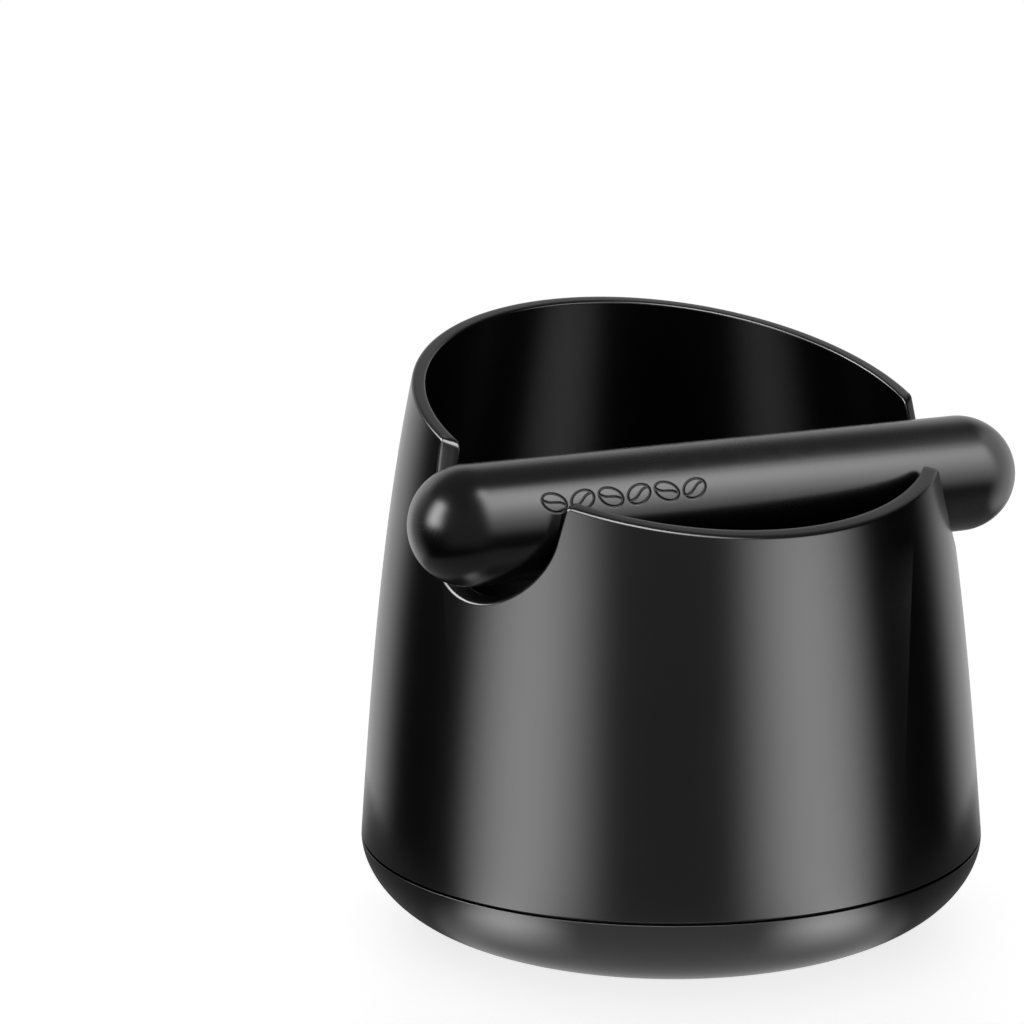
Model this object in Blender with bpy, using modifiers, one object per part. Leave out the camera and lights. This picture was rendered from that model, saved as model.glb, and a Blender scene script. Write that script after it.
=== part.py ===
"""Espresso knock box: a leaning round bin on a rounded base, with a padded bar that lifts out."""

import math

import bmesh
import bpy
from mathutils import Vector

# Bin body, in metres. Heights count from the surface the box stands on.
BODY_RADIUS = 0.0750  # outer radius at the seam, the widest place
SEAM_HEIGHT = 0.0205  # middle of the seam between shell and base
SEAM_GAP = 0.0006  # width of the seam
WALL = 0.0034  # wall of the shell
WALL_RISE = 0.1220  # height from the seam to the highest point of the rim
WALL_LEAN = 0.0830  # inward lean of the wall, as run over rise
RIM_PULL = 0.0067  # extra inward pull of the wall where it has risen WALL_RISE
RIM_SLOPE = 0.3013  # fall of the slanted rim from back to front, as rise over run

# Knock bar.
BAR_RADIUS = 0.0138
BAR_OVERHANG = 0.0174  # how far each round end stands out past the wall
BAR_FORWARD = 0.0262  # how far the bar sits in front of the bin's axis
BAR_SUNK = 0.0110  # how far its axis lies below the plane of the rim
CORE_RADIUS = 0.0080
CORE_WALL = 0.0015
CORE_END = 0.0155  # from the end of the bar to the end of its steel tube
PLUG_HEAD = 0.0020  # thickness of a plug's head, which covers the tube's end
PLUG_DEPTH = 0.0080  # how far a plug reaches into the tube
PIN_HOLE_RADIUS = 0.0015  # left by the pin that holds the core while the sleeve is moulded

# Notches that hold the bar.
NOTCH_DRAFT = math.radians(4.5)  # lean of a notch's two flanks
BELOW_BAR = 0.0025  # space under the bar at a notch's throat
FLARE_SIDE = 0.0028  # how much wider each flank is at the outer face of the wall
FLARE_BELOW = 0.0015  # how much deeper the notch is at the outer face
FLARE_OVERRUN = 0.3  # share of the flare by which its cutter runs on past both faces
THROAT_CORNERS = (0.0026, 0.0012)  # back and front rounding of a notch's corners, at the inner face
MOUTH_CORNERS = (0.0013, 0.0008)  # the same at the outer face
CORNER_RUNOUT = 0.00005  # height over the rim at which that rounding ends

# Rounded base.
BASE_CORNER = 0.0230  # how far the rounding reaches in from the outer radius
BASE_ROUNDING = 1.8  # exponent of the rounding: 2 is an ellipse, 1 is a straight chamfer
FLOOR = 0.0042  # thickness of the floor
BOWL_CORNER = 0.0150  # rounding between floor and wall, inside
TONGUE_WALL = 0.0020
TONGUE_HEIGHT = 0.0050  # how far the base's tongue stands up inside the shell
SEAL_WIDTH = 0.0014
SEAL_DEPTH = 0.0014  # depth of the seal's groove in the base's upper edge
SEAL_INSET = 0.0017  # from the base's outer radius to the seal's outer edge

# Non-slip ring under the base.
FOOT_INSET = 0.0060  # from the edge of the flat underside to the ring
FOOT_WIDTH = 0.0100
FOOT_THICKNESS = 0.0025
FOOT_PROUD = 0.0008  # how far the ring stands out below the base

GAP = 0.0003  # between pieces that touch
ROUND_STEPS = 80  # facets round the bin
BAR_STEPS = 40  # facets round the bar
WALL_ROWS = 8
CORNER_ROWS = 7
CUTTER_START = 0.0200  # where a notch's cutter starts, inside the bin
CUT_REACH = 0.2000  # how far the cutters reach beyond the body

BASE_TOP = SEAM_HEIGHT - SEAM_GAP / 2
SHELL_BOTTOM = SEAM_HEIGHT + SEAM_GAP / 2
RIM_TOP = SEAM_HEIGHT + WALL_RISE
FOOT_RADIUS = BODY_RADIUS - BASE_CORNER - FOOT_INSET


def outer_radius(height):
    """Outer radius of the shell at a height."""
    rise = height - SEAM_HEIGHT
    return BODY_RADIUS - WALL_LEAN * rise - RIM_PULL * (rise / WALL_RISE) ** 3


def rim_height(y):
    """Height of the slanted rim's plane, which reaches RIM_TOP at the back of the wall."""
    return RIM_TOP + RIM_SLOPE * (y - outer_radius(RIM_TOP))


def wall_at(y, height):
    """X of the wall's outer face at this Y and height."""
    return math.sqrt(outer_radius(height) ** 2 - y**2)


BAR_AXIS = Vector((0, -BAR_FORWARD, rim_height(-BAR_FORWARD) - BAR_SUNK))
BAR_LENGTH = 2 * (wall_at(BAR_AXIS.y, BAR_AXIS.z) + BAR_OVERHANG)


def steps(first, last, count):
    """Evenly spaced values from first to last, both included."""
    return [first + (last - first) * i / count for i in range(count + 1)]


def make_material(name, colour, roughness, metallic=0.0):
    material = bpy.data.materials.new(name)
    material.use_nodes = True
    shader = material.node_tree.nodes["Principled BSDF"]
    shader.inputs["Base Color"].default_value = (*colour, 1)
    shader.inputs["Roughness"].default_value = roughness
    shader.inputs["Metallic"].default_value = metallic
    return material


def make_object(name, mesh, collection, material=None):
    piece = bpy.data.objects.new(name, mesh)
    collection.objects.link(piece)
    if material:
        mesh.materials.append(material)
    return piece


def turn(name, profile, collection, material=None, closed=True, count=ROUND_STEPS):
    """A profile of (radius, height) points, down the outer side first, turned about Z."""
    mesh = bpy.data.meshes.new(name)
    edges = [(i, i + 1) for i in range(len(profile) - 1)]
    if closed:
        edges.append((len(profile) - 1, 0))
    mesh.from_pydata([(radius, 0, height) for radius, height in profile], edges, [])
    piece = make_object(name, mesh, collection, material)
    screw = piece.modifiers.new("Turn", "SCREW")
    screw.steps = count
    screw.render_steps = count
    screw.use_merge_vertices = True
    screw.merge_threshold = 0.00001
    screw.use_smooth_shade = True
    return piece


def cut(piece, cutter):
    boolean = piece.modifiers.new("Cut " + cutter.name, "BOOLEAN")
    boolean.operation = "DIFFERENCE"
    boolean.object = cutter


def hide_cutter(cutter):
    cutter.hide_render = True
    cutter.display_type = "WIRE"


def flank_normal(side):
    """Direction square to a notch's flank, out of the notch. Side is 1 at the back, -1 in front."""
    return Vector((side * math.cos(NOTCH_DRAFT), -math.sin(NOTCH_DRAFT)))


def corner_arc(side, flank_distance, corner):
    """The rounding between a flank and the rim, as (y, z) points from the rim to the flank."""
    up = Vector((-RIM_SLOPE, 1)).normalized()
    out = flank_normal(side)
    rim_distance = Vector((0, rim_height(0))).dot(up) + CORNER_RUNOUT - corner
    reach = BAR_AXIS.yz.dot(out) + flank_distance + corner
    across = out.x * up.y - out.y * up.x
    centre = Vector((
        (reach * up.y - rim_distance * out.y) / across,
        (rim_distance * out.x - reach * up.x) / across,
    ))
    first = math.atan2(up.y, up.x)
    last = math.atan2(-out.y, -out.x)
    if side > 0 and last < first:
        last += math.tau
    angles = steps(first, last, CORNER_ROWS)
    return [centre + corner * Vector((math.cos(a), math.sin(a))) for a in angles]


def notch_outline(widening, deepening, corners):
    """A notch seen along X, as a closed list of (y, z) points."""
    flank_distance = BAR_RADIUS + GAP + widening
    depth = BAR_RADIUS + BELOW_BAR + deepening
    drop = (depth - flank_distance) / (1 - math.sin(NOTCH_DRAFT))
    centre = BAR_AXIS.yz - Vector((0, drop))
    radius = depth - drop
    back = flank_normal(1)
    first = math.atan2(back.y, back.x)
    angles = steps(first, -math.pi - first, 3 * CORNER_ROWS)
    bottom = [centre + radius * Vector((math.cos(a), math.sin(a))) for a in angles]
    outline = corner_arc(1, flank_distance, corners[0]) + bottom
    outline += corner_arc(-1, flank_distance, corners[1])[::-1]
    front_top = Vector((outline[-1].x, outline[-1].y + CUT_REACH))
    back_top = Vector((outline[0].x, outline[0].y + CUT_REACH))
    return outline + [front_top, back_top]


def face_distance(point, thickness):
    """X of the wall's surface where it has this (y, z), this far in from the outer face."""
    height = min(point.y, RIM_TOP)
    radius = outer_radius(height) - thickness
    return math.sqrt(radius**2 - point.x**2)


def make_notch_cutter(name, side, collection):
    """A flared cutter: the throat's outline at the wall's inner face, the wider one at its outer face."""
    throat = [Vector((face_distance(p, WALL), p.x, p.y)) for p in notch_outline(0, 0, THROAT_CORNERS)]
    mouth_outline = notch_outline(FLARE_SIDE, FLARE_BELOW, MOUTH_CORNERS)
    mouth = [Vector((face_distance(p, 0), p.x, p.y)) for p in mouth_outline]
    inner = [a - (b - a) * FLARE_OVERRUN for a, b in zip(throat, mouth)]
    outer = [b + (b - a) * FLARE_OVERRUN for a, b in zip(throat, mouth)]
    innermost = [Vector((CUTTER_START, p.y, p.z)) for p in inner]
    outermost = [Vector((CUT_REACH, p.y, p.z)) for p in outer]
    mesh = bpy.data.meshes.new(name)
    shape = bmesh.new()
    rings = []
    for section in (innermost, inner, outer, outermost):
        rings.append([shape.verts.new((side * p.x, p.y, p.z)) for p in section])
    shape.faces.new(rings[0])
    shape.faces.new(rings[-1])
    for near, far in zip(rings, rings[1:]):
        for i in range(len(near)):
            shape.faces.new((near[i - 1], near[i], far[i], far[i - 1]))
    bmesh.ops.recalc_face_normals(shape, faces=shape.faces)
    bmesh.ops.triangulate(shape, faces=shape.faces)
    shape.to_mesh(mesh)
    shape.free()
    cutter = make_object(name, mesh, collection)
    hide_cutter(cutter)
    return cutter


def make_rim_cutter(collection):
    """A block whose lower face is the plane of the slanted rim."""
    bpy.ops.mesh.primitive_cube_add(size=2 * CUT_REACH)
    cutter = bpy.context.object
    cutter.name = "rim_cutter"
    tilt = math.atan(RIM_SLOPE)
    cutter.rotation_euler = (tilt, 0, 0)
    up = Vector((0, -math.sin(tilt), math.cos(tilt)))
    cutter.location = Vector((0, 0, rim_height(0))) + up * CUT_REACH
    for holder in list(cutter.users_collection):
        holder.objects.unlink(cutter)
    collection.objects.link(cutter)
    hide_cutter(cutter)
    return cutter


def make_shell(parts, cutters):
    plastic = make_material("satin_black_abs", (0.012, 0.012, 0.013), 0.32)
    heights = steps(RIM_TOP + WALL, SHELL_BOTTOM, WALL_ROWS)
    outside = [(outer_radius(z), z) for z in heights]
    inside = [(radius - WALL, z) for radius, z in reversed(outside)]
    shell = turn("bin_shell", outside + inside, parts, plastic)
    cut(shell, make_rim_cutter(cutters))
    cut(shell, make_notch_cutter("left_notch_cutter", -1, cutters))
    cut(shell, make_notch_cutter("right_notch_cutter", 1, cutters))


def base_side(count):
    """The base's rounded side, from its upper edge down to its flat underside."""
    height = BASE_TOP - FOOT_PROUD
    points = []
    for angle in steps(0, math.pi / 2, count):
        across = math.cos(angle) ** (2 / BASE_ROUNDING) if angle < math.pi / 2 else 0
        down = math.sin(angle) ** (2 / BASE_ROUNDING)
        points.append((BODY_RADIUS - BASE_CORNER * (1 - across), BASE_TOP - height * down))
    return points


def make_base(parts):
    plastic = make_material("satin_black_base", (0.014, 0.014, 0.015), 0.38)
    tongue_top = BASE_TOP + TONGUE_HEIGHT
    tongue_outer = outer_radius(tongue_top) - WALL - GAP
    tongue_inner = tongue_outer - TONGUE_WALL
    floor_top = FOOT_PROUD + FLOOR
    groove_outer = BODY_RADIUS - SEAL_INSET + GAP
    groove_inner = groove_outer - SEAL_WIDTH - 2 * GAP
    groove_bottom = BASE_TOP - SEAL_DEPTH
    foot_top = FOOT_THICKNESS + GAP
    bowl = []
    for angle in steps(0, math.pi / 2, CORNER_ROWS):
        radius = tongue_inner - BOWL_CORNER * (1 - math.sin(angle))
        bowl.append((radius, floor_top + BOWL_CORNER * (1 - math.cos(angle))))
    profile = [(0, floor_top)] + bowl
    profile += [(tongue_inner, tongue_top), (tongue_outer, tongue_top)]
    profile += [(tongue_outer, BASE_TOP), (groove_inner, BASE_TOP)]
    profile += [(groove_inner, groove_bottom), (groove_outer, groove_bottom)]
    profile += [(groove_outer, BASE_TOP)]
    profile += base_side(CORNER_ROWS + 2)
    profile += [(FOOT_RADIUS + GAP, FOOT_PROUD), (FOOT_RADIUS + GAP, foot_top)]
    profile += [(FOOT_RADIUS - FOOT_WIDTH - GAP, foot_top)]
    profile += [(FOOT_RADIUS - FOOT_WIDTH - GAP, FOOT_PROUD), (0, FOOT_PROUD)]
    turn("base_pan", profile, parts, plastic, closed=False)


def make_seal(parts):
    rubber = make_material("black_silicone", (0.01, 0.01, 0.01), 0.6)
    outer = BODY_RADIUS - SEAL_INSET
    inner = outer - SEAL_WIDTH
    top = SHELL_BOTTOM - GAP
    bottom = BASE_TOP - SEAL_DEPTH + GAP
    profile = [(outer, top), (outer, bottom), (inner, bottom), (inner, top)]
    turn("base_seal", profile, parts, rubber)


def make_foot(parts):
    rubber = make_material("black_foot_rubber", (0.015, 0.015, 0.015), 0.8)
    inner = FOOT_RADIUS - FOOT_WIDTH
    profile = [(FOOT_RADIUS, FOOT_THICKNESS), (FOOT_RADIUS, 0), (inner, 0), (inner, FOOT_THICKNESS)]
    turn("foot_ring", profile, parts, rubber)


def make_bar(parts):
    """The bar's pieces are turned about Z, then laid along X in the notches."""
    steel = make_material("bright_steel", (0.62, 0.62, 0.63), 0.28, 1.0)
    plug_plastic = make_material("grey_nylon", (0.35, 0.35, 0.36), 0.5)
    rubber = make_material("satin_black_rubber", (0.013, 0.013, 0.014), 0.36)
    carrier = bpy.data.objects.new("bar_carrier", None)
    carrier.location = BAR_AXIS
    parts.objects.link(carrier)
    half_core = BAR_LENGTH / 2 - CORE_END
    bore = CORE_RADIUS - CORE_WALL
    tube = [(CORE_RADIUS, half_core), (CORE_RADIUS, -half_core), (bore, -half_core), (bore, half_core)]
    core = turn("bar_core", tube, parts, steel, count=BAR_STEPS)
    head_bottom = half_core + GAP
    head_top = head_bottom + PLUG_HEAD
    shank = bore - GAP
    plug_profile = [(0, head_top), (CORE_RADIUS, head_top), (CORE_RADIUS, head_bottom)]
    plug_profile += [(shank, head_bottom), (shank, half_core - PLUG_DEPTH), (0, half_core - PLUG_DEPTH)]
    right_plug = turn("bar_plug_right", plug_profile, parts, plug_plastic, False, BAR_STEPS)
    left_plug = turn("bar_plug_left", plug_profile, parts, plug_plastic, False, BAR_STEPS)
    pocket_half = head_top + GAP
    pocket = CORE_RADIUS + GAP
    straight_half = BAR_LENGTH / 2 - BAR_RADIUS
    hole_angle = math.asin(PIN_HOLE_RADIUS / BAR_RADIUS)
    dome = []
    for angle in steps(0, math.pi / 2, CORNER_ROWS + 1):
        dome.append((BAR_RADIUS * math.cos(angle), -straight_half - BAR_RADIUS * math.sin(angle)))
    dome[-1] = (0, -BAR_LENGTH / 2)
    top_dome = []
    for angle in steps(hole_angle, math.pi / 2, CORNER_ROWS + 1):
        top_dome.append((BAR_RADIUS * math.sin(angle), straight_half + BAR_RADIUS * math.cos(angle)))
    profile = [(0, -pocket_half), (pocket, -pocket_half), (pocket, pocket_half)]
    profile += [(PIN_HOLE_RADIUS, pocket_half)] + top_dome + dome
    sleeve = turn("bar_sleeve", profile, parts, rubber, False, BAR_STEPS)
    for piece in (core, right_plug, left_plug, sleeve):
        piece.parent = carrier
        piece.rotation_euler = (0, math.pi / 2, 0)
    left_plug.rotation_euler = (0, -math.pi / 2, 0)


def main():
    for thing in list(bpy.data.objects):
        bpy.data.objects.remove(thing)
    parts = bpy.data.collections.new("espresso_knock_box")
    cutters = bpy.data.collections.new("cutters")
    for collection in (parts, cutters):
        bpy.context.scene.collection.children.link(collection)
    make_shell(parts, cutters)
    make_base(parts)
    make_seal(parts)
    make_foot(parts)
    make_bar(parts)


main()
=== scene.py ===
import math

import bmesh
import bpy
from mathutils import Matrix, Quaternion, Vector


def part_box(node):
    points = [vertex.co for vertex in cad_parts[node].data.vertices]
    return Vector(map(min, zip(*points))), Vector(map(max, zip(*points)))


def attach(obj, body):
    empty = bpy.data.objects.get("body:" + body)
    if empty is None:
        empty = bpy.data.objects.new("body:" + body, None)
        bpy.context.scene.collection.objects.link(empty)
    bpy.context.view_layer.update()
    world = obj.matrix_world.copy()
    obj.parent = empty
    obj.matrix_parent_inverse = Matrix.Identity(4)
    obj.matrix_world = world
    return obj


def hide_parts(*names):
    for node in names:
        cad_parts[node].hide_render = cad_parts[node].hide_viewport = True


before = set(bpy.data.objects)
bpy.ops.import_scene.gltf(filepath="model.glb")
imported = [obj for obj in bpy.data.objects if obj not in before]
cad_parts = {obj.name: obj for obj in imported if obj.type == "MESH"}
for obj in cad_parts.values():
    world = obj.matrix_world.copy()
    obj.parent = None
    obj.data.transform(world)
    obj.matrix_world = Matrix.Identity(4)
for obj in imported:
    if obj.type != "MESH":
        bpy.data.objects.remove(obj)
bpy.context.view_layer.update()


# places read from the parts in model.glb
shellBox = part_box("bin_shell")
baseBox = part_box("base_pan")
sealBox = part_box("base_seal")
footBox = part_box("foot_ring")
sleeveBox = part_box("bar_sleeve")

shellFoot = shellBox[0].z
barRadius = (sleeveBox[1].z - sleeveBox[0].z) / 2
barEnd = -sleeveBox[0].x  # its left end is whole, its right one has the pin hole
barY = (sleeveBox[0].y + sleeveBox[1].y) / 2
barZ = (sleeveBox[0].z + sleeveBox[1].z) / 2


class Wire:
    # a value in a shader or geometry tree, for maths in plain Python
    def __init__(self, tree, socket):
        self.tree = tree
        self.socket = socket

    def maths(self, operation, *others):
        terms = dict(enumerate((self, *others)))
        return Bench(self.tree).add("ShaderNodeMath", {"operation": operation}, terms)

    def siblings(self):
        # every output of the node that this value comes from
        return [Wire(self.tree, socket) for socket in self.socket.node.outputs]

    def __add__(self, other):
        return self.maths("ADD", other)

    def __radd__(self, other):
        return self.maths("ADD", other)

    def __sub__(self, other):
        return self.maths("SUBTRACT", other)

    def __rsub__(self, other):
        return self.maths("MULTIPLY_ADD", -1.0, other)

    def __mul__(self, other):
        return self.maths("MULTIPLY", other)

    def __rmul__(self, other):
        return self.maths("MULTIPLY", other)

    def __truediv__(self, other):
        return self.maths("DIVIDE", other)

    def __pow__(self, other):
        return self.maths("POWER", other)

    def clamped(self):
        return self.maths("MAXIMUM", 0.0).maths("MINIMUM", 1.0)


class Bench:
    # a node tree and the one way that nodes are put in it
    def __init__(self, tree):
        self.tree = tree

    def plug(self, place, value):
        # links a wire, or each of several, to an input, or writes a plain value there
        if isinstance(value, (Wire, list)):
            for wire in value if isinstance(value, list) else [value]:
                self.tree.links.new(wire.socket, place)
        else:
            place.default_value = value

    def add(self, kind, settings=None, inputs=None, output=0):
        node = self.tree.nodes.new(kind)
        for name, value in (settings or {}).items():
            setattr(node, name, value)
        for name, value in (inputs or {}).items():
            self.plug(node.inputs[name], value)
        return Wire(self.tree, node.outputs[output]) if node.outputs else node

    def split(self, vector):
        # the X, Y and Z of a vector
        return self.add("ShaderNodeSeparateXYZ", None, {0: vector}).siblings()


def pieceOf(name, mesh, material):
    piece = bpy.data.objects.new(name, mesh)
    bpy.context.scene.collection.objects.link(piece)
    mesh.materials.clear()
    mesh.materials.append(material)
    return piece


def finishMesh(mesh):
    # welds seams and poles, turns every face outwards and shades the piece smooth
    merge = 1e-7
    work = bmesh.new()
    work.from_mesh(mesh)
    bmesh.ops.remove_doubles(work, verts=work.verts, dist=merge)
    bmesh.ops.dissolve_degenerate(work, edges=work.edges, dist=merge / 10)
    if work.calc_volume(signed=True) < 0:
        bmesh.ops.reverse_faces(work, faces=work.faces)
    for face in work.faces:
        face.smooth = True
    work.to_mesh(mesh)
    work.free()


def even(first, last, count):
    return [first + (last - first) * i / count for i in range(count + 1)]


def eased(count):
    # from 0 to 1, close together at both ends
    return [0.5 - 0.5 * math.cos(math.pi * i / count) for i in range(count + 1)]


def arcSteps(centre, start, end, segments):
    # points round a centre, from one offset to another of the same length
    return [centre + start.slerp(end, t) * start.length for t in even(0, 1, segments)]


def roundedProfile(corners, segments=4):
    # (radius, height, rounding) corners, each rounding drawn as an arc
    points = []
    for i, (radius, height, rounding) in enumerate(corners):
        here = Vector((radius, height))
        if rounding == 0 or i in (0, len(corners) - 1):
            points.append(here)
            continue
        before = (Vector(corners[i - 1][:2]) - here).normalized()
        after = (Vector(corners[i + 1][:2]) - here).normalized()
        half = before.angle(after) / 2
        centre = here + (before + after).normalized() * rounding / math.cos(half)
        start = here + before * rounding - centre
        end = here + after * rounding - centre
        points += arcSteps(centre, start, end, segments)
    return points


# the shell is a leaning wall whose rim is one slanted plane with two notches
shellPlan = {
    "wall": 0.0034,
    "lean": 0.0830,  # run over rise of the wall
    "rise": 0.1220,  # from the seam to the top of the rim
    "rimPull": 0.0067,  # extra pull inwards at that height
    "seamGap": 0.0006,
    "rimSlope": 0.3013,
    "notchDraft": math.radians(4.5),
    "belowBar": 0.0025,
    "sideGap": 0.0003,
    "flareSide": 0.0028,  # how much wider the notch is outside
    "flareBelow": 0.0015,
    "throatCorners": (0.0012, 0.0026),  # front and back, where the notch meets the rim inside
    "mouthCorners": (0.0008, 0.0013),  # the same outside
    "edgeRound": 0.00060,
    "footRound": 0.00030,
    "wallRows": 44,
    "frontColumns": 40,
    "backColumns": 70,
}
seamHeight = shellFoot - shellPlan["seamGap"] / 2
bodyRadius = baseBox[1].x


def wallRadius(height):
    rise = height - seamHeight
    pull = shellPlan["rimPull"] * (rise / shellPlan["rise"]) ** 3
    return bodyRadius - shellPlan["lean"] * rise - pull


def wallSlope(height):
    rise = (height - seamHeight) / shellPlan["rise"]
    return -shellPlan["lean"] - 3 * shellPlan["rimPull"] * rise**2 / shellPlan["rise"]


rimBack = seamHeight + shellPlan["rise"]
# height of the rim's plane on the axis
rimMiddle = rimBack - shellPlan["rimSlope"] * wallRadius(rimBack)
rimUp = Vector((-shellPlan["rimSlope"], 1)).normalized()


def arcBetween(centre, radius, first, last, count):
    angles = even(first, last, count)
    return [centre + radius * Vector((math.cos(a), math.sin(a))) for a in angles]


def notchCurve(widening, deepening, corners):
    # the notch seen along X, as (y, z) points from its front corner to its back corner
    cornerSteps, flankSteps, bottomSteps = 10, 12, 44
    draft = shellPlan["notchDraft"]
    axis = Vector((barY, barZ))
    reach = barRadius + shellPlan["sideGap"] + widening
    depth = barRadius + shellPlan["belowBar"] + deepening
    drop = (depth - reach) / (1 - math.sin(draft))
    bottomCentre = axis - Vector((0, drop))
    bottomRadius = depth - drop
    curve = []
    for side, corner in zip((-1, 1), corners):
        out = Vector((side * math.cos(draft), -math.sin(draft)))
        # the corner's centre lies one rounding below the rim and one rounding outside the flank
        system = Matrix(((rimUp.x, rimUp.y), (out.x, out.y)))
        offsets = Vector((rimMiddle * rimUp.y - corner, axis.dot(out) + reach + corner))
        centre = system.inverted() @ offsets
        first = math.atan2(rimUp.y, rimUp.x)
        last = math.atan2(-out.y, -out.x)
        last += math.tau if side > 0 and last < first else 0
        arc = arcBetween(centre, corner, first, last, cornerSteps)
        low = bottomCentre + bottomRadius * out
        flank = [arc[-1].lerp(low, t) for t in even(0, 1, flankSteps)]
        if side < 0:
            turnOut = math.atan2(out.y, out.x) + math.tau
            turnBack = 3 * math.pi - turnOut
            bottom = arcBetween(bottomCentre, bottomRadius, turnOut, turnBack, bottomSteps)
            curve += arc + flank[1:] + bottom[1:]
        else:
            curve += (arc + flank[1:-1])[::-1]
    return curve


def rimPoint(angle, inset):
    # where the rim's plane cuts the wall at this angle round the bin
    height = rimMiddle
    for step in range(12):  # settles to well under a micrometre
        radius = wallRadius(height) - inset
        height = rimMiddle + shellPlan["rimSlope"] * radius * math.sin(angle)
    return Vector((radius * math.cos(angle), radius * math.sin(angle), height))


def edgeLine(inset, widening, deepening, corners):
    # one edge of the rim, from the middle of the front over +X to the middle of the back
    notch = []
    for point in notchCurve(widening, deepening, corners):
        radius = wallRadius(point.y) - inset
        notch.append(Vector((math.sqrt(radius**2 - point.x**2), point.x, point.y)))
    startAngle = math.atan2(notch[0].y, notch[0].x)
    endAngle = math.atan2(notch[-1].y, notch[-1].x)
    frontAngles = even(-math.pi / 2, startAngle, shellPlan["frontColumns"])
    backAngles = even(endAngle, math.pi / 2, shellPlan["backColumns"])
    front = [rimPoint(a, inset) for a in frontAngles]
    back = [rimPoint(a, inset) for a in backAngles]
    return front + notch[1:-1] + back, len(front) - 1, len(front) + len(notch) - 2


def roundWalled(line):
    # the whole loop from its +X half
    mirrored = [Vector((-p.x, p.y, p.z)) for p in line[1:-1]]
    return line + mirrored[::-1]


def tangents(loop):
    count = len(loop)
    return [(loop[(i + 1) % count] - loop[i - 1]).normalized() for i in range(count)]


def wallNormal(point):
    across = math.hypot(point.x, point.y)
    return Vector((point.x / across, point.y / across, -wallSlope(point.z))).normalized()


def edgeArc(edge, wallWay, faceWay, segments=5):
    # rounds one edge of the rim: from the wall, over the edge, to the cut face
    width = shellPlan["edgeRound"]
    half = wallWay.angle(faceWay) / 2
    centre = edge + (wallWay + faceWay).normalized() * width / math.cos(half)
    start = edge + wallWay * width - centre
    end = edge + faceWay * width - centre
    return arcSteps(centre, start, end, segments)


def wallRun(foot, top, inset, rows):
    # points up the wall from an angle at the foot to a point at the rim
    topAngle = math.atan2(top.y, top.x)
    while topAngle - foot[0] > math.pi:
        topAngle -= math.tau
    while topAngle - foot[0] < -math.pi:
        topAngle += math.tau
    run = []
    for t in eased(rows):
        angle = foot[0] + (topAngle - foot[0]) * t
        height = foot[1] + (top.z - foot[1]) * t
        radius = wallRadius(height) - inset
        run.append(Vector((radius * math.cos(angle), radius * math.sin(angle), height)))
    run[-1] = top
    return run


def buildShell(material):
    faceSteps = 3  # across the cut face of the rim
    faceWearAndSheen = 0.25
    wall = shellPlan["wall"]
    footRound = shellPlan["footRound"]
    footTop = shellFoot + footRound
    outerLine, notchStart, notchEnd = edgeLine(
        0, shellPlan["flareSide"], shellPlan["flareBelow"], shellPlan["mouthCorners"]
    )
    innerLine = edgeLine(wall, 0, 0, shellPlan["throatCorners"])[0]
    outer, inner = roundWalled(outerLine), roundWalled(innerLine)
    outerAlong, innerAlong = tangents(outer), tangents(inner)
    # angles at the foot: straight up under the rim, spread evenly under each notch
    footAngles = [math.atan2(p.y, p.x) for p in outerLine]
    span = footAngles[notchEnd] - footAngles[notchStart]
    for i in range(notchStart, notchEnd + 1):
        footAngles[i] = footAngles[notchStart] + span * (i - notchStart) / (notchEnd - notchStart)
    footAngles += [math.pi - a for a in footAngles[1:-1]][::-1]
    columns = []
    wearAndSheen = []
    for i, angle in enumerate(footAngles):
        faceWays = []
        for line, along, other in ((outer, outerAlong, inner), (inner, innerAlong, outer)):
            across = other[i] - line[i]
            faceWays.append((across - along[i] * across.dot(along[i])).normalized())
        arcs = []
        lines = ((outer, outerAlong, faceWays[0]), (inner, innerAlong, faceWays[1]))
        for line, along, faceWay in lines:
            down = along[i].cross(wallNormal(line[i]))
            arcs.append(edgeArc(line[i], down, faceWay))
        outerRun = wallRun((angle, footTop), arcs[0][0], 0, shellPlan["wallRows"])
        innerRun = wallRun((angle, footTop), arcs[1][0], wall, shellPlan["wallRows"])
        face = [arcs[0][-1].lerp(arcs[1][-1], t) for t in even(0, 1, faceSteps)]
        foot = []
        outward = Vector((math.cos(angle), math.sin(angle), 0))
        footCorners = [
            (wallRadius(footTop) - wall, footTop, 0),
            (wallRadius(shellFoot) - wall, shellFoot, footRound),
            (wallRadius(shellFoot), shellFoot, footRound),
            (wallRadius(footTop), footTop, 0),
        ]
        for point in roundedProfile(footCorners)[1:-1]:
            foot.append(outward * point.x + Vector((0, 0, point.y)))
        column = outerRun[:-1] + arcs[0] + face[1:-1] + arcs[1][::-1]
        column += innerRun[:-1][::-1] + foot
        # marks the rounded rim edges, and the cut face a quarter as much, for worn spots and a
        # painted highlight
        edge = [0.0] + [1.0] * (len(arcs[0]) - 2) + [0.0]
        near = [0.0] * (len(outerRun) - 1) + edge + [faceWearAndSheen] * (len(face) - 2) + edge
        near += [0.0] * (len(innerRun) - 1 + len(foot))
        columns.append(column)
        wearAndSheen.append(near)
    rows = len(columns[0])
    count = len(columns)
    points = [p for column in columns for p in column]
    faces = []
    for i in range(count):
        for j in range(rows):
            a, b = i * rows, (i + 1) % count * rows
            k = (j + 1) % rows
            faces.append((a + j, b + j, b + k, a + k))
    mesh = bpy.data.meshes.new("binShell")
    mesh.from_pydata(points, [], faces)
    rimWear = mesh.attributes.new("rimWear", "FLOAT", "POINT")
    rimWear.data.foreach_set("value", [value for near in wearAndSheen for value in near])
    finishMesh(mesh)
    return pieceOf("binShell", mesh, material)


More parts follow.
